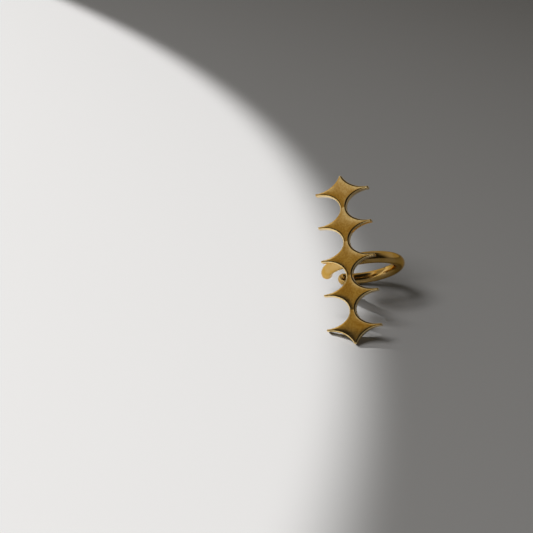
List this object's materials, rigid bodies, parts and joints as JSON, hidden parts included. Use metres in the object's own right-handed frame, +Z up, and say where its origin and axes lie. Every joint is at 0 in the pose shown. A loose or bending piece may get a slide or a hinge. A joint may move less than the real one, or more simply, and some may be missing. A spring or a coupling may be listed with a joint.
{
  "type": "ear cuff",
  "caption": "Gold ear cuff: a flat column of joined four-pointed stars soldered to an open ring of round wire.",
  "frame": {"origin": "middle of the footprint of the resting cuff, on the surface that it rests on", "axes": "+Z up; the stars' front face looks to -Y and up; +X to the right of the stars"},
  "size_m": [0.0206, 0.0244, 0.0232],
  "materials": {
    "gold": "satin polished gold plating"
  },
  "bodies": {
    "root": {"ear_cuff": "gold"}
  },
  "joints": []
}
